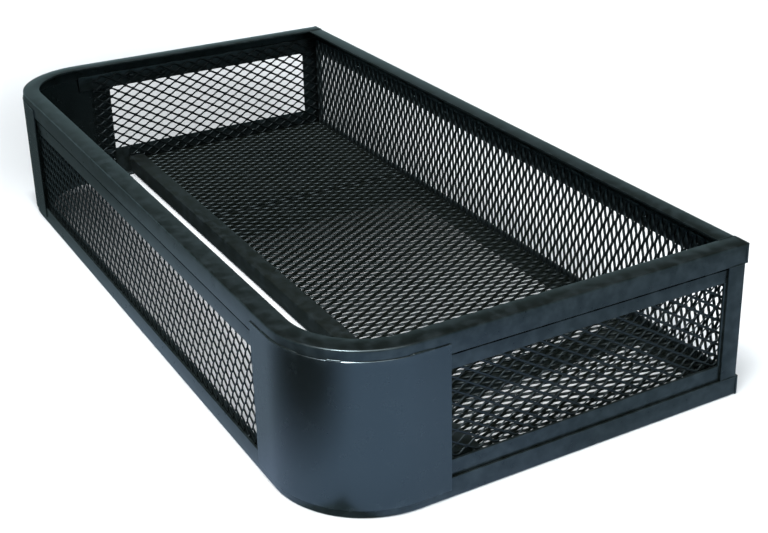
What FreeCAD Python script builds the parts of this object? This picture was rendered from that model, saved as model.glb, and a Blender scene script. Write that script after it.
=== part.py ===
import FreeCAD, Part
import Sketcher
import math
import os

# Roof cargo basket, in millimetres. +X runs along the basket towards its right-hand end, +Y from
# the front wall, which has the two rounded corners, to the rear wall, and +Z is up. The origin is
# on the ground under the middle of the basket.
#
# All the steel is butted face to face and welded: two U-shaped rims bent from angle iron, a straight
# angle iron along the rear of each, two rolled corner sheets, corner posts, flat strips behind the
# rims, expanded-metal panels behind the strips, and a raised floor on cross members.

DRIVING_DIMENSIONS = {
    "overall_length": 1135.0,
    "overall_width": 570.0,
    "overall_height": 203.2,
    "corner_radius": 117.0,
    "angle_leg": 25.4,
    "steel_thick": 3.2,
    "sheet_thick": 1.5,
    "sheet_drop": 12.5,
    "sheet_rise": 10.0,
    "sheet_reach_front": 158.0,
    "sheet_reach_right": 157.0,
    "sheet_reach_left": 173.0,
    "strip_wide": 25.4,
    "front_strip_wide": 30.0,
    "strip_lap": 5.0,
    "strip_start": 119.0,
    "mesh_start": 141.5,
    "mesh_depth": 4.8,
    "floor_rail_setback": 191.5,
    "floor_level": 25.4,
    "cross_right_setback": 165.0,
    "seam_setback": 755.0,
    "seam_wide": 101.6,
    "clip_wide": 24.0,
    "clip_tall": 45.0,
}

doc = FreeCAD.newDocument("roof_cargo_basket")
dims = doc.addObject("Spreadsheet::Sheet", "dims")
for row, (alias, size) in enumerate(DRIVING_DIMENSIONS.items(), start=1):
    dims.set(f"A{row}", alias)
    dims.set(f"B{row}", str(size))
    dims.setAlias(f"B{row}", alias)
doc.recompute()

# Expressions for the planes that several pieces share.
THICK = "dims.steel_thick"
LEG = "dims.angle_leg"
TOP = "dims.overall_height"
SIDE = "(dims.overall_length / 2 - dims.sheet_thick)"
FRONT = "(-dims.overall_width / 2 + dims.sheet_thick)"
REAR = "(dims.overall_width / 2)"
REAR_SKIN = f"({REAR} - {THICK})"
POST_INNER = f"({REAR_SKIN} - {THICK})"
STRIP_TOP = f"({TOP} - {LEG} + dims.strip_lap)"
STRIP_BOTTOM = f"({LEG} - dims.strip_lap)"
SIDE_STRIP = f"({SIDE} - 2 * {THICK})"
SIDE_MESH = f"({SIDE_STRIP} - dims.mesh_depth)"
REAR_MESH = f"({POST_INNER} - dims.mesh_depth)"
MESH_START_Y = "(-dims.overall_width / 2 + dims.mesh_start)"
RAIL_FRONT = "(-dims.overall_width / 2 + dims.floor_rail_setback)"
RAIL_INNER = f"({RAIL_FRONT} + {THICK})"
FLOOR_UNDER = "(dims.floor_level - dims.mesh_depth)"
RIGHT_END = "(dims.overall_length / 2)"

nodes = []


def value(expression):
    """The number that an expression gives now, used as a sketch's first guess."""
    return float(dims.evalExpression(expression))


def finish_node(piece, label):
    """Give a finished piece its name and put it on the list of sub-parts."""
    piece.Label = label
    nodes.append(piece)
    return piece


def box(label, x, y, z):
    """A Part::Box whose sides run between pairs of expressions along X, Y and Z."""
    piece = doc.addObject("Part::Box", label)
    for side, axis, (low, high) in (("Length", "x", x), ("Width", "y", y), ("Height", "z", z)):
        piece.setExpression(side, f"{high} - {low}")
        piece.setExpression(f"Placement.Base.{axis}", low)
    return piece


def flat(label, x, y, z):
    """A flat piece, such as a strip or a panel, as a node of its own."""
    return finish_node(box(label, x, y, z), label)


def welded_section(label, boxes):
    """A rolled section made of flats that meet at its bends, fused into one solid."""
    legs = [box(f"{label}_leg_{number}", *spans) for number, spans in enumerate(boxes, start=1)]
    section = doc.addObject("Part::MultiFuse", label)
    section.Shapes = legs
    section.Refine = True
    return finish_node(section, label)


def new_body(label):
    return finish_node(doc.addObject("PartDesign::Body", label), label)


def plan_sketch(body, name, height):
    """A sketch on the body's own XY plane, lifted to a height."""
    plane = next(item for item in body.Origin.OriginFeatures if item.Role == "XY_Plane")
    sketch = body.newObject("Sketcher::SketchObject", name)
    sketch.AttachmentSupport = [(plane, "")]
    sketch.MapMode = "FlatFace"
    sketch.setExpression("AttachmentOffset.Base.z", height)
    return sketch


def bind(sketch, name, constraint, expression):
    """Add a named dimension to a sketch and tie it to the sheet."""
    index = sketch.addConstraint(constraint)
    sketch.renameConstraint(index, name)
    sketch.setExpression(f"Constraints.{name}", expression)


def place_point(sketch, name, item, vertex, x, y):
    """Hold a vertex of a sketch at a pair of expressions measured from the origin."""
    for axis, kind, expression in (("x", "DistanceX", x), ("y", "DistanceY", y)):
        amount = value(expression)
        constraint = Sketcher.Constraint(kind, -1, 1, item, vertex, amount)
        bind(sketch, f"{name}_{axis}", constraint, expression)


def add_line(sketch, name, start, end):
    """A straight side between two points given as pairs of expressions."""
    points = [FreeCAD.Vector(value(x), value(y), 0) for x, y in (start, end)]
    item = sketch.addGeometry(Part.LineSegment(*points), False)
    for vertex, (x, y) in enumerate((start, end), start=1):
        place_point(sketch, f"{name}_{vertex}", item, vertex, x, y)
    return item


def add_corner(sketch, name, centre, radius, first, last, before, after):
    """A rounded corner tangent to the straight sides before and after it, ends first to last."""
    middle = FreeCAD.Vector(value(centre[0]), value(centre[1]), 0)
    circle = Part.Circle(middle, FreeCAD.Vector(0, 0, 1), value(radius))
    item = sketch.addGeometry(Part.ArcOfCircle(circle, first, last), False)
    start, end = 1, 2
    sketch.addConstraint(Sketcher.Constraint("Coincident", item, start, *before))
    sketch.addConstraint(Sketcher.Constraint("Coincident", item, end, *after))
    bind(sketch, f"{name}_radius", Sketcher.Constraint("Radius", item, value(radius)), radius)
    return item


def pad(body, sketch, height):
    feature = body.newObject("PartDesign::Pad", f"{sketch.Name}_pad")
    feature.Profile = sketch
    feature.setExpression("Length", height)
    sketch.Visibility = False
    return feature


def rim_outline(sketch, name, inset):
    """One edge of a U-shaped band, open to the rear: end, corner, front, corner, end."""
    side = f"({SIDE} - {inset})"
    front = f"({FRONT} + {inset})"
    bend_y = f"({FRONT} + dims.corner_radius)"
    bend_x = f"({SIDE} - dims.corner_radius)"
    radius = f"(dims.corner_radius - {inset})"
    right = add_line(sketch, f"{name}_right", (side, REAR_SKIN), (side, bend_y))
    along = add_line(sketch, f"{name}_front", (f"-{bend_x}", front), (bend_x, front))
    left = add_line(sketch, f"{name}_left", (f"-{side}", REAR_SKIN), (f"-{side}", bend_y))
    add_corner(sketch, f"{name}_bend_right", (bend_x, bend_y), radius,
               -math.pi / 2, 0, (along, 2), (right, 2))
    add_corner(sketch, f"{name}_bend_left", (f"-{bend_x}", bend_y), radius,
               math.pi, 1.5 * math.pi, (left, 2), (along, 1))


def rim_band(body, name, height, width, depth):
    """A U-shaped band that follows the rim, as wide as width and as deep as depth."""
    sketch = plan_sketch(body, name, height)
    rim_outline(sketch, "outer", "0")
    rim_outline(sketch, "inner", width)
    inner_side = f"({SIDE} - {width})"
    add_line(sketch, "end_right", (SIDE, REAR_SKIN), (inner_side, REAR_SKIN))
    add_line(sketch, "end_left", (f"-{SIDE}", REAR_SKIN), (f"-{inner_side}", REAR_SKIN))
    return pad(body, sketch, depth)


def rim(label, flange_z, leg_z):
    """Angle iron bent to the front and both ends: a flange turned inwards and an upright leg."""
    body = new_body(label)
    rim_band(body, f"{label}_flange", flange_z, LEG, THICK)
    rim_band(body, f"{label}_leg", leg_z, THICK, LEG)


def rear_rail(label, flange_z):
    """The straight angle iron across the rear; its flange is coped to fit between the rim's ends."""
    low = "0" if flange_z == "0" else f"({TOP} - {LEG})"
    leg = ((f"-{SIDE}", SIDE), (REAR_SKIN, REAR), (low, f"({low} + {LEG})"))
    coped = f"({SIDE} - {LEG})"
    flange = ((f"-{coped}", coped), (f"({REAR} - {LEG})", REAR_SKIN),
              (flange_z, f"({flange_z} + {THICK})"))
    welded_section(label, (leg, flange))


def corner_sheet(label, hand, reach):
    """A rolled sheet round one front corner, outside the rims, with a flat stretch at each end."""
    body = new_body(label)
    sketch = plan_sketch(body, f"{label}_plan", "dims.sheet_rise")
    bend_y = f"({FRONT} + dims.corner_radius)"
    bend_x = f"({hand} * ({SIDE} - dims.corner_radius))"
    end_x = f"({hand} * (dims.overall_length / 2 - dims.sheet_reach_front))"
    end_y = f"(-dims.overall_width / 2 + {reach})"
    ends = {}
    for name, outset in (("outer", "dims.sheet_thick"), ("inner", "0")):
        front = f"({FRONT} - {outset})"
        side = f"({hand} * ({SIDE} + {outset}))"
        radius = f"(dims.corner_radius + {outset})"
        along = add_line(sketch, f"{name}_front", (end_x, front), (bend_x, front))
        across = add_line(sketch, f"{name}_side", (side, bend_y), (side, end_y))
        if hand > 0:
            turn = (-math.pi / 2, 0, (along, 2), (across, 1))
        else:
            turn = (math.pi, 1.5 * math.pi, (across, 1), (along, 2))
        add_corner(sketch, f"{name}_bend", (bend_x, bend_y), radius, *turn)
        ends[name] = (front, side)
    add_line(sketch, "edge_front", (end_x, ends["outer"][0]), (end_x, ends["inner"][0]))
    add_line(sketch, "edge_side", (ends["outer"][1], end_y), (ends["inner"][1], end_y))
    pad(body, sketch, f"{TOP} - dims.sheet_drop - dims.sheet_rise")


def span(hand, low, high):
    """A pair of expressions along X, mirrored for the left-hand end."""
    return (low, high) if hand > 0 else (f"-{high}", f"-{low}")


def corner_post(label, hand):
    """The upright angle at a square rear corner, flush with the rim's leg."""
    tall = (LEG, f"({TOP} - {LEG})")
    post_y = f"({REAR_SKIN} - {LEG})"
    end_leg = (span(hand, f"({SIDE} - {THICK})", SIDE), (post_y, REAR_SKIN), tall)
    rear_leg = (span(hand, f"({SIDE} - {LEG})", f"({SIDE} - {THICK})"), (POST_INNER, REAR_SKIN), tall)
    welded_section(label, (end_leg, rear_leg))


def end_wall(side_name, hand):
    """The strips and the expanded-metal panel of one short wall."""
    strip_x = span(hand, SIDE_STRIP, f"({SIDE} - {THICK})")
    start_y = "(-dims.overall_width / 2 + dims.strip_start)"
    long_y = (start_y, POST_INNER)
    upper = (f"({STRIP_TOP} - dims.strip_wide)", STRIP_TOP)
    lower = (STRIP_BOTTOM, f"({STRIP_BOTTOM} + dims.strip_wide)")
    flat(f"side_strip_top_{side_name}", strip_x, long_y, upper)
    flat(f"side_strip_bottom_{side_name}", strip_x, long_y, lower)
    flat(f"side_strip_rear_{side_name}", strip_x,
         (f"({POST_INNER} - dims.strip_wide)", POST_INNER), (lower[1], upper[0]))
    flat(f"side_mesh_{side_name}", span(hand, SIDE_MESH, SIDE_STRIP),
         (MESH_START_Y, POST_INNER), (THICK, STRIP_TOP))


def long_walls():
    """The top strips and the expanded-metal panels of the front and rear walls."""
    strip_end = f"({SIDE} - dims.strip_start)"
    mesh_end = f"({SIDE} - dims.mesh_start)"
    strip_y = (f"({FRONT} + {THICK})", f"({FRONT} + 2 * {THICK})")
    flat("front_strip_top", (f"-{strip_end}", strip_end), strip_y,
         (f"({STRIP_TOP} - dims.front_strip_wide)", STRIP_TOP))
    flat("front_mesh", (f"-{mesh_end}", mesh_end),
         (strip_y[1], f"({strip_y[1]} + dims.mesh_depth)"), (THICK, STRIP_TOP))
    post_end = f"({SIDE} - {LEG})"
    flat("rear_strip_top", (f"-{post_end}", post_end), (POST_INNER, REAR_SKIN),
         (f"({STRIP_TOP} - dims.strip_wide)", STRIP_TOP))
    flat("rear_mesh", (f"-{SIDE_MESH}", SIDE_MESH), (REAR_MESH, POST_INNER), (THICK, STRIP_TOP))


def cross_angle(label, start_x, web_on_right):
    """A cross member under the floor: a flange under the mesh and an upright web."""
    end_x = f"({start_x} + {LEG})"
    across = (RAIL_INNER, REAR_MESH)
    flange = ((start_x, end_x), across, (f"({FLOOR_UNDER} - {THICK})", FLOOR_UNDER))
    web_x = (f"({end_x} - {THICK})", end_x) if web_on_right else (start_x, f"({start_x} + {THICK})")
    web = (web_x, across, (THICK, f"({FLOOR_UNDER} - {THICK})"))
    welded_section(label, (flange, web))


def floor():
    """The raised floor: rail, cross members, two expanded-metal panels and two clips."""
    rail_end = SIDE_MESH
    rail_top = f"({THICK} + {LEG})"
    rail_leg = ((f"-{rail_end}", rail_end), (RAIL_FRONT, RAIL_INNER), (THICK, rail_top))
    rail_flange = ((f"-{rail_end}", rail_end), (RAIL_INNER, f"({RAIL_FRONT} + {LEG})"),
                   (f"({rail_top} - {THICK})", rail_top))
    welded_section("floor_rail_front", (rail_leg, rail_flange))

    seam_right = f"({RIGHT_END} - dims.seam_setback)"
    seam_left = f"({seam_right} - dims.seam_wide)"
    across = (RAIL_INNER, REAR_MESH)
    channel = [((seam_left, seam_right), across, (f"({FLOOR_UNDER} - {THICK})", FLOOR_UNDER))]
    for web_x in ((seam_left, f"({seam_left} + {THICK})"), (f"({seam_right} - {THICK})", seam_right)):
        channel.append((web_x, across, (THICK, f"({FLOOR_UNDER} - {THICK})")))
    welded_section("floor_cross_channel", channel)
    cross_angle("floor_cross_angle_right", f"({RIGHT_END} - dims.cross_right_setback - {LEG})", True)
    cross_angle("floor_cross_angle_left", f"(-{SIDE_MESH})", False)

    seam = f"({RIGHT_END} - dims.seam_setback - dims.seam_wide / 2)"
    level = (FLOOR_UNDER, "dims.floor_level")
    flat("floor_mesh_right", (seam, SIDE_MESH), across, level)
    flat("floor_mesh_left", (f"-{SIDE_MESH}", seam), across, level)

    for side_name, hand in (("right", 1), ("left", -1)):
        clip_x = span(hand, f"({SIDE_MESH} - {THICK})", SIDE_MESH)
        clip_y = (f"({RAIL_FRONT} - dims.clip_wide)", RAIL_FRONT)
        flat(f"floor_rail_clip_{side_name}", clip_x, clip_y, (THICK, f"({THICK} + dims.clip_tall)"))


rim("top_rim", f"({TOP} - {THICK})", f"({TOP} - {LEG})")
rim("bottom_rim", "0", "0")
rear_rail("top_rail_rear", f"({TOP} - {THICK})")
rear_rail("bottom_rail_rear", "0")
corner_sheet("corner_sheet_right", 1, "dims.sheet_reach_right")
corner_sheet("corner_sheet_left", -1, "dims.sheet_reach_left")
corner_post("corner_post_right", 1)
corner_post("corner_post_left", -1)
long_walls()
end_wall("right", 1)
end_wall("left", -1)
floor()

doc.recompute()

for item in doc.Objects:
    if "Invalid" in item.State or "Error" in item.State:
        raise SystemExit(f"{item.Name} failed: {item.State}")
for piece in nodes:
    if piece.Shape.isNull() or not piece.Shape.isValid():
        raise SystemExit(f"{piece.Label} has no valid shape")
    if len(piece.Shape.Solids) != 1:
        raise SystemExit(f"{piece.Label} has {len(piece.Shape.Solids)} solids instead of one")

os.makedirs("parts", exist_ok=True)
for piece in nodes:
    piece.Shape.exportStep(f"parts/{piece.Label}.step")
print(f"{len(nodes)} sub-parts written")
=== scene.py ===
import math
import random

import bmesh
import bpy
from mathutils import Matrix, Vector, noise


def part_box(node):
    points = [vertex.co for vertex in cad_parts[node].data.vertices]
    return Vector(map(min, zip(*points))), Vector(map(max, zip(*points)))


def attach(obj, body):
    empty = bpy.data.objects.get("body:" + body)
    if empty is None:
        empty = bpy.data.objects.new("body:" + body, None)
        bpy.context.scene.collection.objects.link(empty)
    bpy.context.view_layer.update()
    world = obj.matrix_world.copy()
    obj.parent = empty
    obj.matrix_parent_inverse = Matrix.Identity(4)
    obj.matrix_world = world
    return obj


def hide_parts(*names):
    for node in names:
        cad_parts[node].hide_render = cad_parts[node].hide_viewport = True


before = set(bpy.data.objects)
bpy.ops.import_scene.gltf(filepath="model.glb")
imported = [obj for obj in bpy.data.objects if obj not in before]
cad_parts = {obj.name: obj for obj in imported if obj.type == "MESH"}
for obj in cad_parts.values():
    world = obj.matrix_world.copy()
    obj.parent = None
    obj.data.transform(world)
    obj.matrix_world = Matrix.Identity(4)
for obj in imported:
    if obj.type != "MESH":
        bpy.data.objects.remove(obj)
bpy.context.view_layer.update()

MM = 0.001

# ---------------------------------------------------------------- sizes taken from the frame
TOP_RIM_LOW, TOP_RIM_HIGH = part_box("top_rim")
REAR_RAIL_LOW, REAR_RAIL_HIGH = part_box("top_rail_rear")
STRIP_LOW, STRIP_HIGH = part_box("front_strip_top")
SHEET_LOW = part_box("corner_sheet_right")[0]

TOP = TOP_RIM_HIGH.z
SIDE = TOP_RIM_HIGH.x
FRONT = TOP_RIM_LOW.y
REAR_SKIN = TOP_RIM_HIGH.y
REAR = REAR_RAIL_HIGH.y
LEG = REAR_RAIL_HIGH.z - REAR_RAIL_LOW.z
THICK = STRIP_HIGH.y - STRIP_LOW.y
SHEET_THICK = FRONT - SHEET_LOW.y
CORNER_RADIUS = 117 * MM        # outer faces of the rims at the rounded corners

# Rolled steel: sharp heel, rounded toes and a fillet in the root.
HEEL = 2.2 * MM
TOE = 1.7 * MM
ROOT = 2.6 * MM
BAR_EDGE = 0.6 * MM

# How closely a long piece is divided, and the creases that stay sharp, in degrees.
STATION_SPACING = 60 * MM
SHEET_SPACING = 8 * MM
POST_SPACING = 30 * MM
BEND_STEP = math.radians(3)
SHARP_STEEL, SHARP_STRAND, SHARP_WELD = 35, 50, 60

X_AXIS = Vector((1, 0, 0))
Y_AXIS = Vector((0, 1, 0))
Z_AXIS = Vector((0, 0, 1))
AXES = (X_AXIS, Y_AXIS, Z_AXIS)


# ---------------------------------------------------------------- camera, floor and light
CAMERA_PLACE = Vector((1.6041, -0.7725, 0.8658))
CAMERA_YAW = 0.5313             # radians from -X towards +Y
CAMERA_PITCH = 0.3984           # radians below the horizon
CAMERA_ROLL = 0.0137
CAMERA_SENSOR = 36
CAMERA_LENS = 63.05
CAMERA_SHIFT = (-0.0469, -0.0866)

# Soft boxes: name, azimuth from +X, elevation and spread in degrees, strength.
SOFTBOX_COLOUR = (1.0, 0.99, 0.97)
SOFTBOXES = (("key", -62, 64, 17, 1.50), ("fill", -5, 44, 36, 1.15), ("top", -70, 80, 40, 1.85))
GLINT = ("glint", -60, 56, 11, 6.0)

ROOM_LOW, ROOM_HIGH = (0.52, 0.78, 0.82), (0.010, 0.014, 0.016)
ROOM_FADE = (0.14, 0.36)        # between these heights of view, on a sphere of radius 1

FLOOR_HALF = 14.0
FLOOR_DROP = 0.4 * MM
FLOOR_DULL, FLOOR_BRIGHT = (0.88, 0.92, 0.97), (0.90, 0.94, 0.98)

# Painted shade: where each patch's left, right, near and far edges start and end, and how deep
# it is, as two (x, depth) pairs. The first is under the basket's floor, the second behind the
# front wall. The soft spot lies past the left end.
SHADE_PATCHES = (
    ((-SIDE - 0.02, -SIDE + 0.03), (0.30, 0.42), (-0.09, -0.03), (REAR - 0.03, REAR + 0.02),
     ((-0.22, 0.96), (0.16, 0.0))),
    ((-SIDE, -SIDE + 0.06), (0.35, 0.50), (FRONT, FRONT + 0.03), (-0.15, -0.12),
     ((-0.45, 0.85), (0.25, 0.10))),
)
SOFT_SPOT, SOFT_SPOT_FADE, SOFT_SPOT_SHADE = (-0.82, 0.12, 0), (0.16, 0.60), 0.55

# What the paint mirrors instead of the white floor: a pool of light, dimmer outwards in two
# steps, dimmer inside the basket's outline, and with a dark patch before the nearest corner.
POOL_MIDDLE = (1.0, -0.45, 0)
POOL_NEAR_FADE, POOL_NEAR_DIM = (0.42, 0.68), 0.47
POOL_FAR_FADE, POOL_FAR_DIM = (0.95, 1.5), 0.22
POOL_INSIDE = ((-SIDE, -SIDE + 0.01), (SIDE - 0.01, SIDE), (FRONT, FRONT + 0.01),
               (REAR - 0.01, REAR), ((0, 0.8), (1, 0.8)))
POOL_DIM_COLOUR, POOL_COLOUR = (0.60, 0.84, 0.88), (0.57, 0.74, 1.0)
DARK_PATCH_SQUEEZE, DARK_PATCH_MIDDLE = (0.75, 1, 1), (0.37, -0.63, 0)
DARK_PATCH_FADE, DARK_PATCH_RANGE = (0.14, 0.30), (0.02, 1.35)


def add_camera():
    forward = Vector((-math.cos(CAMERA_YAW) * math.cos(CAMERA_PITCH),
                      math.sin(CAMERA_YAW) * math.cos(CAMERA_PITCH),
                      -math.sin(CAMERA_PITCH)))
    level = Vector((math.sin(CAMERA_YAW), math.cos(CAMERA_YAW), 0))
    down = forward.cross(level)
    right = level * math.cos(CAMERA_ROLL) + down * math.sin(CAMERA_ROLL)
    up = level * math.sin(CAMERA_ROLL) - down * math.cos(CAMERA_ROLL)
    camera_data = bpy.data.cameras.new("camera")
    camera_data.sensor_width = CAMERA_SENSOR
    camera_data.lens = CAMERA_LENS
    camera_data.shift_x, camera_data.shift_y = CAMERA_SHIFT
    camera_data.clip_end = 100
    camera = bpy.data.objects.new("camera", camera_data)
    bpy.context.scene.collection.objects.link(camera)
    for row in range(3):
        camera.matrix_world[row][0] = right[row]
        camera.matrix_world[row][1] = up[row]
        camera.matrix_world[row][2] = -forward[row]
        camera.matrix_world[row][3] = CAMERA_PLACE[row]
    bpy.context.scene.camera = camera


def add_softbox(name, azimuth, elevation, spread, strength):
    """A broad light far away, so that the floor is lit evenly."""
    light_data = bpy.data.lights.new(name, "SUN")
    light_data.angle = math.radians(spread)
    light_data.energy = strength
    light_data.color = SOFTBOX_COLOUR
    light = bpy.data.objects.new(name, light_data)
    turn, lift = math.radians(azimuth), math.radians(elevation)
    towards = Vector((math.cos(turn) * math.cos(lift), math.sin(turn) * math.cos(lift),
                      math.sin(lift)))
    light.rotation_euler = towards.to_track_quat("Z", "Y").to_euler()
    bpy.context.scene.collection.objects.link(light)
    return light


def add_studio():
    """Soft boxes in a dim room whose walls are lighter near the floor."""
    world = bpy.data.worlds.new("studio")
    world.use_nodes = True
    nodes, links = world.node_tree.nodes, world.node_tree.links
    split = nodes.new("ShaderNodeSeparateXYZ")
    links.new(nodes.new("ShaderNodeTexCoord").outputs["Generated"], split.inputs["Vector"])
    walls = ramp(nodes, links, split.outputs["Z"], ROOM_LOW, ROOM_HIGH, *ROOM_FADE)
    links.new(walls, nodes["Background"].inputs["Color"])
    bpy.context.scene.world = world
    for softbox in SOFTBOXES:
        add_softbox(*softbox)
    add_softbox(*GLINT).visible_diffuse = False     # seen only in reflections
    bpy.context.scene.view_settings.view_transform = "Standard"


def shade_patch(nodes, links, x, y, left, right, near, far, depths):
    """1 outside a soft-edged patch of floor; inside it, 1 less the depth. Each edge is a
    (start, end) pair along X or Y, and the depth runs from the first to the second of its
    (x, depth) pairs."""
    inside = None
    for axis, edge, first, last in ((x, left, 0, 1), (x, right, 1, 0),
                                    (y, near, 0, 1), (y, far, 1, 0)):
        side = span_value(nodes, links, axis, first, last, *edge)
        inside = arithmetic(nodes, links, "MULTIPLY", inside, side) if inside else side
    (start, deep), (end, shallow) = depths
    inside = arithmetic(nodes, links, "MULTIPLY", inside,
                        span_value(nodes, links, x, deep, shallow, start, end))
    return arithmetic(nodes, links, "SUBTRACT", 1.0, inside)


def floor_shade(nodes, links, place, x, y):
    """1 on the open floor, less in the soft spot and in the shade patches."""
    shade = span_value(nodes, links, distance_from(nodes, links, place, SOFT_SPOT),
                       SOFT_SPOT_SHADE, 1.0, *SOFT_SPOT_FADE)
    for patch in SHADE_PATCHES:
        shade = arithmetic(nodes, links, "MULTIPLY", shade, shade_patch(nodes, links, x, y, *patch))
    return shade


def distance_from(nodes, links, place, point):
    node = nodes.new("ShaderNodeVectorMath")
    node.operation = "DISTANCE"
    links.new(place, node.inputs[0])
    node.inputs[1].default_value = point
    return node.outputs["Value"]


def mirrored_floor(nodes, links, place, x, y):
    """The emission that the paint mirrors: a cool pool of light before the nearest corner, with
    a darker patch in it, that fades away to the left."""
    distance = distance_from(nodes, links, place, POOL_MIDDLE)
    pool = arithmetic(nodes, links, "MULTIPLY",
                      span_value(nodes, links, distance, 1.0, POOL_NEAR_DIM, *POOL_NEAR_FADE),
                      span_value(nodes, links, distance, 1.0, POOL_FAR_DIM, *POOL_FAR_FADE))
    pool = arithmetic(nodes, links, "MULTIPLY", pool,
                      shade_patch(nodes, links, x, y, *POOL_INSIDE))
    squeezed = nodes.new("ShaderNodeVectorMath")
    squeezed.operation = "MULTIPLY"
    links.new(place, squeezed.inputs[0])
    squeezed.inputs[1].default_value = DARK_PATCH_SQUEEZE
    dark_patch = span_value(nodes, links,
                            distance_from(nodes, links, squeezed.outputs["Vector"],
                                          DARK_PATCH_MIDDLE),
                            *DARK_PATCH_RANGE, *DARK_PATCH_FADE)
    mirrored = nodes.new("ShaderNodeEmission")
    links.new(ramp(nodes, links, pool, POOL_DIM_COLOUR, POOL_COLOUR, 0.1, 0.6),
              mirrored.inputs["Color"])
    links.new(arithmetic(nodes, links, "MULTIPLY", pool, dark_patch), mirrored.inputs["Strength"])
    return mirrored


def add_floor():
    """A pale floor that the paint mirrors as a dimmer, cooler one."""
    mesh = bpy.data.meshes.new("studio_floor")
    corners = [(-1, -1), (1, -1), (1, 1), (-1, 1)]
    mesh.from_pydata([(x * FLOOR_HALF, y * FLOOR_HALF, -FLOOR_DROP) for x, y in corners],
                     [], [(0, 1, 2, 3)])
    floor = bpy.data.objects.new("studio_floor", mesh)
    bpy.context.scene.collection.objects.link(floor)
    material, nodes, links, shader = new_material("studio_floor_paint")
    shader.inputs["Roughness"].default_value = 0.9
    shader.inputs["Specular IOR Level"].default_value = 0.1
    place = nodes.new("ShaderNodeTexCoord").outputs["Object"]
    split = nodes.new("ShaderNodeSeparateXYZ")
    links.new(place, split.inputs["Vector"])
    grain = add_node(nodes, "ShaderNodeTexNoise", Scale=3.0, Detail=4.0)
    links.new(place, grain.inputs["Vector"])
    pale = ramp(nodes, links, grain.outputs["Fac"], FLOOR_DULL, FLOOR_BRIGHT)
    x, y = split.outputs["X"], split.outputs["Y"]
    shade = floor_shade(nodes, links, place, x, y)
    links.new(mix_colour(nodes, links, shade, (0.0, 0.0, 0.0), pale), shader.inputs["Base Color"])
    mirrored = mirrored_floor(nodes, links, place, x, y)
    choice = nodes.new("ShaderNodeMixShader")
    links.new(nodes.new("ShaderNodeLightPath").outputs["Is Glossy Ray"], choice.inputs[0])
    links.new(shader.outputs["BSDF"], choice.inputs[1])
    links.new(mirrored.outputs["Emission"], choice.inputs[2])
    links.new(choice.outputs["Shader"], nodes["Material Output"].inputs["Surface"])
    mesh.materials.append(material)


# ---------------------------------------------------------------- materials
# Paints: name, darker and lighter colour, roughness, specular level, orange peel, dust.
PAINTS = (
    ("frame_paint", (0.0040, 0.0058, 0.0048), (0.0062, 0.0084, 0.0076),
     0.28, 0.58, 0.04 * MM, 0.02),
    ("sheet_paint", (0.0042, 0.0060, 0.0054), (0.0064, 0.0086, 0.0084),
     0.25, 0.85, 0.05 * MM, 0.05),
    ("wall_mesh_paint", (0.0034, 0.0046, 0.0040), (0.0056, 0.0070, 0.0064),
     0.34, 0.44, 0.04 * MM, 0.02),
    # Painted shade: a less blue, duller copy of the frame paint, standing for the dim shade inside
    # the basket.
    ("floor_paint", (0.0040, 0.0056, 0.0040), (0.0064, 0.0084, 0.0064),
     0.38, 0.36, 0.04 * MM, 0.02),
    # Painted shade: near-black paint for the strips that stand for the shadow under the top rim's
    # legs.
    ("shadow_line_paint", (0.0006, 0.0009, 0.0009), (0.0012, 0.0018, 0.0018),
     0.80, 0.03, 0.10 * MM, 0.0),
    # Painted shade: a darker, duller copy of the wall mesh paint, standing for the shade on the
    # basket's floor.
    ("floor_mesh_paint", (0.0024, 0.0034, 0.0024), (0.0040, 0.0054, 0.0040),
     0.34, 0.10, 0.04 * MM, 0.01),
)
WORN_COLOUR = (0.022, 0.030, 0.034)
DUST_COLOUR = (0.06, 0.065, 0.058)
GLOSS_TINT = (0.70, 0.90, 1.0)


def new_material(name):
    material = bpy.data.materials.new(name)
    material.use_nodes = True
    nodes, links = material.node_tree.nodes, material.node_tree.links
    return material, nodes, links, nodes["Principled BSDF"]


def add_node(nodes, kind, **inputs):
    node = nodes.new(kind)
    for name, amount in inputs.items():
        node.inputs[name.replace("_", " ")].default_value = amount
    return node


def ramp(nodes, links, factor, low, high, start=0.3, end=0.7):
    """A colour that runs from low to high as the factor goes from start to end."""
    node = nodes.new("ShaderNodeValToRGB")
    node.color_ramp.elements[0].position = start
    node.color_ramp.elements[0].color = (*low, 1)
    node.color_ramp.elements[1].position = end
    node.color_ramp.elements[1].color = (*high, 1)
    links.new(factor, node.inputs["Fac"])
    return node.outputs["Color"]


def span_value(nodes, links, factor, low, high, start=0.3, end=0.7):
    """A number that runs from low to high as the factor goes from start to end."""
    node = nodes.new("ShaderNodeMapRange")
    for name, amount in (("From Min", start), ("From Max", end), ("To Min", low), ("To Max", high)):
        node.inputs[name].default_value = amount
    links.new(factor, node.inputs["Value"])
    return node.outputs["Result"]


def arithmetic(nodes, links, operation, first, second):
    node = nodes.new("ShaderNodeMath")
    node.operation = operation
    for socket, source in zip(node.inputs, (first, second)):
        if isinstance(source, (int, float)):
            socket.default_value = source
        else:
            links.new(source, socket)
    return node.outputs["Value"]


def mix_colour(nodes, links, factor, first, second):
    node = nodes.new("ShaderNodeMix")
    node.data_type = "RGBA"
    links.new(factor, node.inputs[0])
    for socket, source in ((node.inputs[6], first), (node.inputs[7], second)):
        if isinstance(source, tuple):
            socket.default_value = (*source, 1)
        else:
            links.new(source, socket)
    return node.outputs[2]


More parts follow.
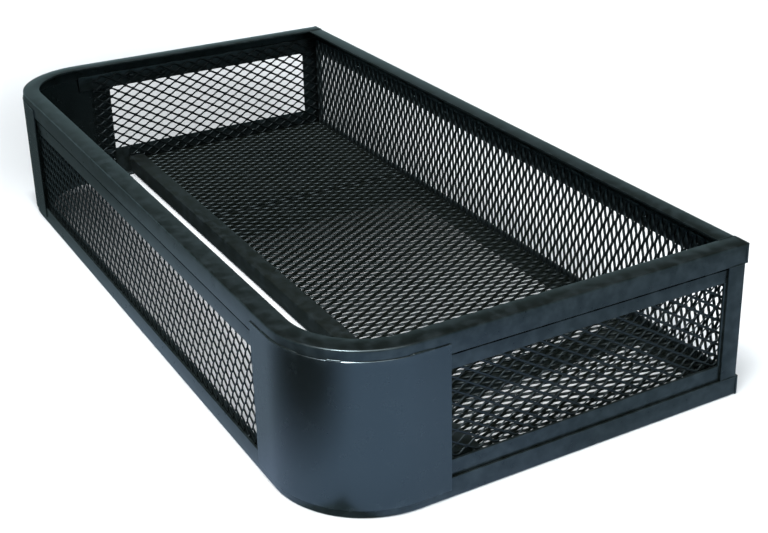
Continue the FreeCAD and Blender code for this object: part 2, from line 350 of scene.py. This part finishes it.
def black_paint(name, base, tint, roughness, specular, peel, dust):
    """Semi-gloss black paint on steel: mottled colour, orange peel, rubbed edges, film of dust."""
    material, nodes, links, shader = new_material(name)
    where = nodes.new("ShaderNodeTexCoord").outputs["Object"]

    def texture(scale, detail):
        node = add_node(nodes, "ShaderNodeTexNoise", Scale=scale, Detail=detail, Roughness=0.55)
        links.new(where, node.inputs["Vector"])
        return node.outputs["Fac"]

    broad, fine, grain = texture(6, 3), texture(70, 5), texture(520, 3)
    colour = ramp(nodes, links, broad, base, tint)
    speck = span_value(nodes, links, fine, 0.0, 0.18, 0.55, 0.78)
    colour = mix_colour(nodes, links, speck, colour, tuple(1.5 * c + 0.001 for c in tint))

    edge = nodes.new("ShaderNodeAttribute")
    edge.attribute_name = "edge"
    worn = arithmetic(nodes, links, "MULTIPLY", edge.outputs["Fac"],
                      span_value(nodes, links, fine, 0.0, 0.75, 0.42, 0.7))
    colour = mix_colour(nodes, links, worn, colour, WORN_COLOUR)

    normal = nodes.new("ShaderNodeNewGeometry").outputs["Normal"]
    split = nodes.new("ShaderNodeSeparateXYZ")
    links.new(normal, split.inputs["Vector"])
    facing_up = span_value(nodes, links, split.outputs["Z"], 0.0, 1.0, 0.5, 0.98)
    film = arithmetic(nodes, links, "MULTIPLY", facing_up,
                      span_value(nodes, links, broad, 0.35 * dust, dust, 0.3, 0.7))
    colour = mix_colour(nodes, links, film, colour, DUST_COLOUR)
    links.new(colour, shader.inputs["Base Color"])

    rough = span_value(nodes, links, fine, roughness - 0.01, roughness + 0.03, 0.3, 0.7)
    rough = arithmetic(nodes, links, "ADD", rough, arithmetic(nodes, links, "MULTIPLY", film, 0.5))
    links.new(rough, shader.inputs["Roughness"])
    shader.inputs["Specular IOR Level"].default_value = specular
    shader.inputs["Specular Tint"].default_value = (*GLOSS_TINT, 1)

    height = arithmetic(nodes, links, "ADD",
                        arithmetic(nodes, links, "MULTIPLY", grain, 0.5),
                        arithmetic(nodes, links, "MULTIPLY", fine, 1.0))
    bump = nodes.new("ShaderNodeBump")
    bump.inputs["Strength"].default_value = 0.3
    bump.inputs["Distance"].default_value = peel
    links.new(height, bump.inputs["Height"])
    links.new(bump.outputs["Normal"], shader.inputs["Normal"])
    return material


# ---------------------------------------------------------------- mesh helpers
def rounded_outline(corners, steps=4):
    """A closed outline from (across, up, radius) corners, each rounded to its radius.
    Gives the points and, for each, how far it lies on a convex edge, for the paint's wear."""
    points, wear = [], []
    count = len(corners)
    area = 0
    for here, after in zip(corners, corners[1:] + corners[:1]):
        area += here[0] * after[1] - after[0] * here[1]
    for i, (across, up, radius) in enumerate(corners):
        here = Vector((across, up))
        before = (Vector(corners[i - 1][:2]) - here).normalized()
        after = (Vector(corners[(i + 1) % count][:2]) - here).normalized()
        turn = (-before).x * after.y - (-before).y * after.x
        convex = turn * area > 0
        half = before.angle(after) / 2
        reach = radius / math.tan(half)
        middle = here + (before + after).normalized() * (radius / math.sin(half))
        start = here + before * reach - middle
        swing = math.pi - 2 * half
        swing = swing if turn > 0 else -swing
        for step in range(steps + 1):
            angle = swing * step / steps
            turned = Vector((start.x * math.cos(angle) - start.y * math.sin(angle),
                             start.x * math.sin(angle) + start.y * math.cos(angle)))
            points.append(middle + turned)
            wear.append(1.0 if convex else 0.0)
    return points, wear


def angle_outline(low, high, thick, flange_at_top):
    """The L section of an angle iron: across is inwards from its outer face, up is height."""
    width = high - low
    if flange_at_top:
        corners = [(0, low, BAR_EDGE), (thick, low, TOE), (thick, high - thick, ROOT),
                   (width, high - thick, TOE), (width, high, BAR_EDGE), (0, high, HEEL)]
    else:
        corners = [(0, low, HEEL), (width, low, BAR_EDGE), (width, low + thick, TOE),
                   (thick, low + thick, ROOT), (thick, high, TOE), (0, high, BAR_EDGE)]
    return rounded_outline(corners)


def add_piece(name, verts, faces, wear, material, slot, nodes, sharp=SHARP_STEEL):
    """A mesh object with its wear attribute and material, riding on the frame. The slot is not
    used.
    """
    mesh = bpy.data.meshes.new(name)
    mesh.from_pydata(verts, [], faces)
    mesh.validate()
    attribute = mesh.attributes.new("edge", "FLOAT", "POINT")
    attribute.data.foreach_set("value", wear)
    work = bmesh.new()
    work.from_mesh(mesh)
    bmesh.ops.recalc_face_normals(work, faces=work.faces)
    work.to_mesh(mesh)
    work.free()
    mesh.shade_smooth()
    mesh.set_sharp_from_angle(angle=math.radians(sharp))
    mesh.materials.append(material)
    piece = bpy.data.objects.new(name, mesh)
    bpy.context.scene.collection.objects.link(piece)
    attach(piece, "root")
    if nodes:
        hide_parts(*nodes)
    return piece


def tube_faces(first, end, ring):
    """Faces of a tube closed at both ends, whose rings of points run from first up to end."""
    faces = []
    for start in range(first, end - ring, ring):
        for i in range(ring):
            j = (i + 1) % ring
            faces.append((start + i, start + j, start + ring + j, start + ring + i))
    return faces + [tuple(range(first, first + ring)), tuple(range(end - ring, end))]


def sweep(outline, stations):
    """Carries an outline along stations of (origin, across axis, up axis)."""
    points, edge = outline
    verts, wear = [], []
    for origin, across, up in stations:
        verts += [origin + across * point.x + up * point.y for point in points]
        wear += edge
    return verts, tube_faces(0, len(verts), len(points)), wear


def straight_stations(start, end, across, up, spacing=STATION_SPACING):
    count = max(2, math.ceil((end - start).length / spacing) + 1)
    return [(start.lerp(end, i / (count - 1)), across, up) for i in range(count)]


def bend_stations(centre, radius, first, last):
    """Stations round a corner, with across pointing towards the centre of the bend."""
    count = math.ceil(abs(last - first) / BEND_STEP) + 1
    stations = []
    for i in range(count):
        angle = first + (last - first) * i / (count - 1)
        outwards = Vector((math.cos(angle), math.sin(angle), 0))
        stations.append((centre + outwards * radius, -outwards, Z_AXIS))
    return stations


def rim_stations():
    """Round the outside of the rims from the right rear end to the left rear end."""
    bend_x, bend_y = SIDE - CORNER_RADIUS, FRONT + CORNER_RADIUS
    right = straight_stations(Vector((SIDE, REAR_SKIN, 0)), Vector((SIDE, bend_y, 0)),
                              -X_AXIS, Z_AXIS)
    turn_right = bend_stations(Vector((bend_x, bend_y, 0)), CORNER_RADIUS, 0, -math.pi / 2)
    along = straight_stations(Vector((bend_x, FRONT, 0)), Vector((-bend_x, FRONT, 0)),
                              Y_AXIS, Z_AXIS)
    turn_left = bend_stations(Vector((-bend_x, bend_y, 0)), CORNER_RADIUS, -math.pi / 2, -math.pi)
    left = straight_stations(Vector((-SIDE, bend_y, 0)), Vector((-SIDE, REAR_SKIN, 0)),
                             X_AXIS, Z_AXIS)
    return right + turn_right[1:-1] + along + turn_left[1:-1] + left


def box_mesh(low, high, edge=BAR_EDGE):
    """A flat bar between two corners, with its long edges rounded."""
    size = high - low
    axis = max(range(3), key=lambda i: size[i])
    next_axis, last_axis = (axis + 1) % 3, (axis + 2) % 3
    wide, tall = size[next_axis], size[last_axis]
    outline = rounded_outline([(0, 0, edge), (wide, 0, edge), (wide, tall, edge), (0, tall, edge)],
                              3)
    end = low + AXES[axis] * size[axis]
    return sweep(outline, straight_stations(low, end, AXES[next_axis], AXES[last_axis]))


def join_meshes(parts):
    """One vertex, face and wear list from several."""
    verts, faces, wear = [], [], []
    for part_verts, part_faces, part_wear in parts:
        shift = len(verts)
        verts += part_verts
        wear += part_wear
        faces += [tuple(i + shift for i in face) for face in part_faces]
    return verts, faces, wear


# ---------------------------------------------------------------- expanded metal
LONG_PITCH = 26 * MM
SHORT_PITCH = 16 * MM
STRAND_WIDE = 3.5 * MM
STRAND_THICK = 1.5 * MM
STRAND_TILT = math.radians(29)
BOND_LONG = 4.0 * MM
STRAND_EDGE = 0.3 * MM
LEG_WIDENS = 1.16               # a strand's legs run aslant, so they are wider across the short way
STRAND_WANDER, WANDER_SCALE = 0.15 * MM, 9
STRAND_WEAR = 0.25


def strand_section(tilt):
    """The cut section of a strand, as (across, out) points: a flat strip leaning by the tilt."""
    lean = Vector((math.cos(tilt), -math.sin(tilt)))
    face = Vector((math.sin(tilt), math.cos(tilt)))
    half_w, half_t, cut = STRAND_WIDE / 2, STRAND_THICK / 2, STRAND_EDGE
    corners = [(half_w, half_t - cut), (half_w - cut, half_t), (cut - half_w, half_t),
               (-half_w, half_t - cut), (-half_w, cut - half_t), (cut - half_w, -half_t),
               (half_w - cut, -half_t), (half_w, cut - half_t)]
    return [lean * w + face * t for w, t in corners]


def strand_stations(length, phase, row):
    """Where a strand bends, as (place, side) pairs: side is 1 or -1 at a bond and 0 between."""
    bends = []
    for bend in range(-2, int(2 * length / LONG_PITCH) + 4):
        middle = phase + bend * LONG_PITCH / 2
        side = 1 if (bend + row) % 2 else -1
        bends += [(middle - BOND_LONG / 2, side), (middle + BOND_LONG / 2, side),
                  (middle + LONG_PITCH / 4, 0)]
    stations = []
    for (start, side), (end, next_side) in zip(bends, bends[1:]):
        if start > length or end < 0:
            continue
        for place in (max(start, 0.0), min(end, length)):
            blend = side + (next_side - side) * (place - start) / (end - start)
            if not stations or place - stations[-1][0] > 0.02 * MM:
                stations.append((place, blend))
    return stations


def expanded_panel(low, high, long_axis, short_axis, leans, rng):
    """Raised expanded metal filling the box between two corners.
    Each strand zigzags along the long way of the diamonds and leans like the slat of a blind;
    at a bond two strands lie edge to edge in one slanting plane. The sign of leans says which
    way."""
    depth_axis = 3 - long_axis - short_axis
    along, across, out = AXES[long_axis], AXES[short_axis], AXES[depth_axis]
    size = high - low
    length, breadth, depth = size[long_axis], size[short_axis], size[depth_axis]
    section = strand_section(leans * STRAND_TILT)
    swing = SHORT_PITCH / 4 - STRAND_WIDE / 2 * math.cos(STRAND_TILT)
    lift = STRAND_WIDE / 2 * math.sin(leans * STRAND_TILT)
    edge_room = swing + max(point.x for point in section)
    rows = int((breadth - 2 * edge_room) / (SHORT_PITCH / 2)) + 1
    first_row = (breadth - (rows - 1) * SHORT_PITCH / 2) / 2
    phase = rng.uniform(0.2, 0.8) * LONG_PITCH
    verts, faces = [], []
    ring = len(section)
    for row in range(rows):
        centre = first_row + row * SHORT_PITCH / 2
        base = len(verts)
        for place, blend in strand_stations(length, phase, row):
            seed = Vector((place * WANDER_SCALE, centre * WANDER_SCALE, low.x + low.y))
            wander = noise.noise(seed) * STRAND_WANDER
            widen = 1 + (LEG_WIDENS - 1) * (1 - abs(blend))
            origin = low + along * place + out * (depth / 2 + blend * lift)
            for point in section:
                origin_across = centre + blend * swing + wander + point.x * widen
                verts.append(origin + across * origin_across + out * point.y)
        faces += tube_faces(base, len(verts), ring)
    return verts, faces, [STRAND_WEAR] * len(verts)


# ---------------------------------------------------------------- welds
BEAD_STEP = 0.7 * MM
BEAD_RIPPLE = 2.2 * MM
BEAD_RING = 8
BEAD_WEAR = 0.3
END_CLEAR = 2 * MM              # how far a run stops short of a corner

# Radii of the beads, by what they join.
SHEET_TOP_BEAD, SHEET_FOOT_BEAD = 1.5 * MM, 1.3 * MM
RIM_BEAD, RIM_END_BEAD = 0.9 * MM, 1.1 * MM
SIDE_STRIP_BEAD, LONG_STRIP_BEAD = 1.5 * MM, 1.4 * MM
CROSS_MEMBER_BEAD, CLIP_BEAD, TACK_BEAD = 1.3 * MM, 1.5 * MM, 2.0 * MM

# Runs between a rim and a corner sheet, in degrees round the corner from the end wall.
SHEET_RUNS = ((-17, 5), (39, 48), (64, 97))
SHEET_BEAD_RADIUS = CORNER_RADIUS + 0.3 * MM


def bead(points, radius, rng):
    """A run of weld along points: an uneven round bead with ripples, thin at both ends."""
    route = [points[0]]
    for start, end in zip(points, points[1:]):
        count = max(1, round((end - start).length / BEAD_STEP))
        route += [start.lerp(end, i / count) for i in range(1, count + 1)]
    verts = []
    travelled = 0.0
    drift = rng.uniform(0, 50)
    for index, point in enumerate(route):
        before, after = route[max(index - 1, 0)], route[min(index + 1, len(route) - 1)]
        tangent = (after - before).normalized()
        side = tangent.cross(Z_AXIS if abs(tangent.z) < 0.9 else X_AXIS).normalized()
        up = side.cross(tangent)
        travelled += (point - before).length if index else 0.0
        crest = 1 - (travelled / BEAD_RIPPLE) % 1.0
        from_end = min(index, len(route) - 1 - index) / (len(route) / 2)
        taper = min(1.0, 0.45 + 2.6 * from_end)
        uneven = 1 + 0.22 * noise.noise(Vector((drift + travelled * 260, 0, 0)))
        reach = radius * taper * uneven * (0.84 + 0.2 * crest)
        for i in range(BEAD_RING):
            angle = 2 * math.pi * i / BEAD_RING
            verts.append(point + side * (reach * math.cos(angle)) + up * (reach * math.sin(angle)))
    return verts, tube_faces(0, len(verts), BEAD_RING), [BEAD_WEAR] * len(verts)


def stitches(start, end, count, length, radius, rng):
    """Short runs of weld spaced evenly along a straight seam."""
    seam = end - start
    direction = seam.normalized()
    runs = []
    for number in range(count):
        middle = start + seam * ((number + 0.5) / count) + direction * rng.uniform(-3, 3) * MM
        half = direction * (length * rng.uniform(0.42, 0.55))
        runs.append(bead([middle - half, middle + half], radius * rng.uniform(0.85, 1.15), rng))
    return runs


def arc_points(hand, radius, height, first, last):
    """Points round a front corner; angles in degrees from the end wall to the front wall."""
    centre = Vector((hand * (SIDE - CORNER_RADIUS), FRONT + CORNER_RADIUS, height))
    points = []
    for number in range(9):
        angle = math.radians(first + (last - first) * number / 8)
        points.append(centre + Vector((hand * math.cos(angle), -math.sin(angle), 0)) * radius)
    return points


def frame_welds(rng):
    """Welds of the rims, sheets, posts and rear rails."""
    runs = []
    for hand in (1, -1):
        low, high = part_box("corner_sheet_right" if hand > 0 else "corner_sheet_left")
        for first, last in SHEET_RUNS:
            runs.append(bead(arc_points(hand, SHEET_BEAD_RADIUS, high.z, first, last),
                             SHEET_TOP_BEAD, rng))
            runs.append(bead(arc_points(hand, SHEET_BEAD_RADIUS, low.z, first + 8, last + 2),
                             SHEET_FOOT_BEAD, rng))
        side = hand * (SIDE + 0.1 * MM)
        for height in (TOP - LEG, LEG):
            runs.append(bead([Vector((side, REAR_SKIN - LEG, height)),
                              Vector((side, REAR_SKIN - END_CLEAR, height))], RIM_BEAD, rng))
        for base in (0, TOP - LEG):
            runs.append(bead([Vector((side, REAR_SKIN, base + END_CLEAR)),
                              Vector((side, REAR_SKIN, base + LEG - END_CLEAR))],
                             RIM_END_BEAD, rng))
        inner = hand * (SIDE - LEG)
        runs.append(bead([Vector((inner, REAR_SKIN - LEG + 3 * MM, TOP - 0.2 * MM)),
                          Vector((inner, REAR_SKIN, TOP - 0.2 * MM))], RIM_BEAD, rng))
        inside = hand * (SIDE - 1.5 * THICK)
        for node, at_top in (("side_strip_top", True), ("side_strip_bottom", False)):
            low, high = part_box(f"{node}_right")
            height = high.z if at_top else low.z
            runs += stitches(Vector((inside, low.y, height)), Vector((inside, high.y, height)),
                             4, 22 * MM, SIDE_STRIP_BEAD, rng)
    low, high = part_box("front_strip_top")
    runs += stitches(Vector((low.x, FRONT + 1.5 * THICK, high.z)),
                     Vector((high.x, FRONT + 1.5 * THICK, high.z)),
                     8, 24 * MM, LONG_STRIP_BEAD, rng)
    low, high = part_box("rear_strip_top")
    runs += stitches(Vector((low.x, REAR_SKIN - 0.5 * THICK, high.z)),
                     Vector((high.x, REAR_SKIN - 0.5 * THICK, high.z)),
                     9, 24 * MM, LONG_STRIP_BEAD, rng)
    return runs


def floor_welds(rng):
    """Welds of the cross members and clips."""
    runs = []
    rail_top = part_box("floor_rail_front")[1].z
    for node in ("floor_cross_channel", "floor_cross_angle_right", "floor_cross_angle_left"):
        low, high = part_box(node)
        for x in (low.x, high.x):
            runs.append(bead([Vector((x, low.y + 0.4 * MM, low.z)),
                              Vector((x, low.y + 0.4 * MM, high.z))],
                             CROSS_MEMBER_BEAD, rng))
    for node, hand in (("floor_rail_clip_right", 1), ("floor_rail_clip_left", -1)):
        low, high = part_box(node)
        inner = low.x if hand > 0 else high.x
        runs.append(bead([Vector((inner, high.y, low.z + END_CLEAR)),
                          Vector((inner, high.y, rail_top - END_CLEAR))], CLIP_BEAD, rng))
    return runs


def mesh_tacks(rng):
    """Small tacks that hold the wall panels to the strips and rims, on the inside."""
    runs = []
    for node in ("front_mesh", "rear_mesh"):
        low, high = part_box(node)
        y = high.y - 1.6 * MM if node == "front_mesh" else low.y + 1.6 * MM
        for height in (low.z + 12 * MM, high.z - 9 * MM):
            runs += stitches(Vector((low.x + 0.02, y, height)), Vector((high.x - 0.02, y, height)),
                             9 if node == "front_mesh" else 11, 7 * MM, TACK_BEAD, rng)
    for node, hand in (("side_mesh_right", 1), ("side_mesh_left", -1)):
        low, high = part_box(node)
        x = low.x + 1.6 * MM if hand > 0 else high.x - 1.6 * MM
        for height in (low.z + 28 * MM, high.z - 9 * MM):
            runs += stitches(Vector((x, low.y + 0.03, height)), Vector((x, high.y - 0.02, height)),
                             5, 7 * MM, TACK_BEAD, rng)
    return runs


def painted_lap_shadows():
    """Painted shade: a thin near-black strip just under each leg of the top rim, where it overlaps
    a strip, standing for the shadow in that step.
    """
    proud = 0.2 * MM
    parts = []
    for name, tall in (("front_strip_top", 5.6 * MM), ("side_strip_top_right", 3.6 * MM),
                       ("side_strip_top_left", 3.6 * MM)):
        low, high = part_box(name)
        start, end = low.copy(), high.copy()
        start.z, end.z = TOP - LEG - tall, TOP - LEG
        if name == "front_strip_top":
            start.y, end.y = low.y - proud, low.y + proud
        elif high.x > 0:
            start.x, end.x = high.x - proud, high.x + proud
        else:
            start.x, end.x = low.x - proud, low.x + proud
        parts.append(box_mesh(start, end, 0.1 * MM))
    return join_meshes(parts)


# ---------------------------------------------------------------- pieces
def add_rims(paint):
    for name, node, flange_at_top in (("rim_top", "top_rim", True),
                                      ("rim_bottom", "bottom_rim", False)):
        low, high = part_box(node)
        outline = angle_outline(low.z, high.z, THICK, flange_at_top)
        add_piece(name, *sweep(outline, rim_stations()), paint, "frame_paint", [node])


def add_rear_rails(paint):
    """Straight angle irons; the flange stops at the rims, and the leg runs on behind their ends."""
    coped = SIDE - LEG
    for name, node, flange_at_top in (("rail_rear_top", "top_rail_rear", True),
                                      ("rail_rear_bottom", "bottom_rail_rear", False)):
        low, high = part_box(node)
        stations = straight_stations(Vector((-coped, REAR, 0)), Vector((coped, REAR, 0)),
                                     -Y_AXIS, Z_AXIS)
        parts = [sweep(angle_outline(low.z, high.z, THICK, flange_at_top), stations)]
        for start, end in ((-SIDE, -coped), (coped, SIDE)):
            parts.append(box_mesh(Vector((start, REAR_SKIN, low.z)), Vector((end, REAR, high.z))))
        add_piece(name, *join_meshes(parts), paint, "frame_paint", [node])


def sheet_outline(low, high):
    """A thin upright section, divided up its height so that the sheet can wander a little."""
    points, wear = [], []
    edge = SHEET_THICK / 3
    count = 24
    for outer in (True, False):
        across = -SHEET_THICK if outer else 0.0
        inwards = edge if outer else -edge
        levels = [low + edge + (high - low - 2 * edge) * i / count for i in range(count + 1)]
        levels = levels if not outer else levels[::-1]
        points.append(Vector((across + inwards, high if outer else low)))
        wear.append(1.0)
        for level in levels:
            points.append(Vector((across, level)))
            wear.append(1.0 if level in (levels[0], levels[-1]) else 0.0)
        points.append(Vector((across + inwards, low if outer else high)))
        wear.append(1.0)
    return points, wear


def add_corner_sheets(paint):
    for side_name, hand in (("right", 1), ("left", -1)):
        node = f"corner_sheet_{side_name}"
        low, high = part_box(node)
        front_end = low.x if hand > 0 else high.x
        bend = Vector((hand * (SIDE - CORNER_RADIUS), FRONT + CORNER_RADIUS, 0))
        first = 0 if hand > 0 else -math.pi
        flat_side = straight_stations(Vector((hand * SIDE, high.y, 0)),
                                      Vector((hand * SIDE, bend.y, 0)),
                                      -hand * X_AXIS, Z_AXIS, SHEET_SPACING)
        turn = bend_stations(bend, CORNER_RADIUS, first, -math.pi / 2)
        flat_front = straight_stations(Vector((bend.x, FRONT, 0)), Vector((front_end, FRONT, 0)),
                                       Y_AXIS, Z_AXIS, SHEET_SPACING)
        stations = flat_side + turn[1:-1] + flat_front
        verts, faces, wear = sweep(sheet_outline(low.z, high.z), stations)
        ring = len(verts) // len(stations)
        for index, vert in enumerate(verts):
            origin, across, _ = stations[index // ring]
            height = (vert.z - low.z) / (high.z - low.z)
            free = math.sin(math.pi * min(max(height, 0), 1))
            dent = noise.noise(Vector((origin.x * 14, origin.y * 14, vert.z * 9))) * 0.35 * MM
            verts[index] = vert + across * (dent * free)
        add_piece(f"sheet_{side_name}", verts, faces, wear, paint, "sheet_paint", [node])


def add_posts(paint):
    for side_name, hand in (("right", 1), ("left", -1)):
        node = f"corner_post_{side_name}"
        low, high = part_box(node)
        outer_x = high.x if hand > 0 else low.x
        outline = rounded_outline([(0, 0, HEEL), (LEG, 0, BAR_EDGE), (LEG, THICK, TOE),
                                   (THICK, THICK, ROOT), (THICK, LEG, TOE), (0, LEG, BAR_EDGE)])
        stations = straight_stations(Vector((outer_x, high.y, low.z)),
                                     Vector((outer_x, high.y, high.z)),
                                     -hand * X_AXIS, -Y_AXIS, POST_SPACING)
        add_piece(f"post_{side_name}", *sweep(outline, stations), paint, "frame_paint", [node])


def add_flat_bars(paint, names, slot):
    for node in names:
        low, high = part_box(node)
        add_piece(f"{node}_bar", *box_mesh(low, high), paint, slot, [node])


def add_floor_sections(paint):
    low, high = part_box("floor_rail_front")
    outline = angle_outline(low.z, high.z, THICK, True)
    stations = straight_stations(Vector((low.x, low.y, 0)), Vector((high.x, low.y, 0)),
                                 Y_AXIS, Z_AXIS)
    add_piece("floor_rail_section", *sweep(outline, stations), paint, "floor_paint",
              ["floor_rail_front"])
    for node in ("floor_cross_angle_right", "floor_cross_angle_left", "floor_cross_channel"):
        low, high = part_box(node)
        webs = {"floor_cross_angle_right": (1,), "floor_cross_angle_left": (0,),
                "floor_cross_channel": (0, 1)}[node]
        corners = [(0, high.z - THICK, TOE), (0, high.z, BAR_EDGE)]
        if 0 in webs:
            corners = [(THICK, high.z - THICK, ROOT), (THICK, low.z, TOE), (0, low.z, BAR_EDGE),
                       (0, high.z, HEEL)]
        wide = high.x - low.x
        if 1 in webs:
            corners += [(wide, high.z, HEEL), (wide, low.z, BAR_EDGE), (wide - THICK, low.z, TOE),
                        (wide - THICK, high.z - THICK, ROOT)]
        else:
            corners += [(wide, high.z, BAR_EDGE), (wide, high.z - THICK, TOE)]
        stations = straight_stations(Vector((low.x, low.y, 0)), Vector((low.x, high.y, 0)),
                                     X_AXIS, Z_AXIS)
        add_piece(f"{node}_section", *sweep(rounded_outline(corners), stations), paint,
                  "floor_paint", [node])


def add_mesh_panels(wall_paint, floor_paint):
    panels = (("front_mesh", 2, 0, 1), ("rear_mesh", 2, 0, -1),
              ("side_mesh_right", 1, 2, -1), ("side_mesh_left", 1, 2, -1),
              ("floor_mesh_right", 1, 0, 1), ("floor_mesh_left", 1, 0, 1))
    for seed, (node, long_axis, short_axis, leans) in enumerate(panels, start=3):
        low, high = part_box(node)
        paint, slot = wall_paint, "wall_mesh_paint"
        if node.startswith("floor"):
            # The floor mesh takes the darker copy of the mesh paint, painted shade for the basket's
            # floor.
            paint, slot = floor_paint, "floor_mesh_paint"
        mesh = expanded_panel(low, high, long_axis, short_axis, leans, random.Random(seed))
        add_piece(f"{node}_expanded", *mesh, paint, slot, [node], SHARP_STRAND)


def add_welds(frame_paint, floor_paint, mesh_paint, shadow_line_paint):
    rng = random.Random(11)
    # Painted shade: dark strips under the top rim's legs, standing for the shadow there.
    add_piece("painted_lap_shadows", *painted_lap_shadows(), shadow_line_paint, "frame_paint", [])
    add_piece("welds_frame", *join_meshes(frame_welds(rng)), frame_paint, "frame_paint", [],
              SHARP_WELD)
    add_piece("welds_floor", *join_meshes(floor_welds(rng)), floor_paint, "floor_paint", [],
              SHARP_WELD)
    add_piece("tacks_mesh", *join_meshes(mesh_tacks(rng)), mesh_paint, "wall_mesh_paint", [],
              SHARP_WELD)


def main():
    add_camera()
    add_studio()
    add_floor()
    # The fifth paint is painted shade, for the shadow strips under the top rim's legs.
    frame_paint, sheet_paint, mesh_paint, floor_paint, shadow_line_paint, floor_mesh_paint = (
        black_paint(*values) for values in PAINTS)
    add_rims(frame_paint)
    add_rear_rails(frame_paint)
    add_corner_sheets(sheet_paint)
    add_posts(frame_paint)
    strips = ["front_strip_top", "rear_strip_top"]
    for side_name in ("right", "left"):
        strips += [f"side_strip_{place}_{side_name}" for place in ("top", "bottom", "rear")]
    add_flat_bars(frame_paint, strips, "strip_paint")
    add_flat_bars(floor_paint, ["floor_rail_clip_right", "floor_rail_clip_left"], "floor_paint")
    add_floor_sections(floor_paint)
    add_mesh_panels(mesh_paint, floor_mesh_paint)
    add_welds(frame_paint, floor_paint, mesh_paint, shadow_line_paint)


main()
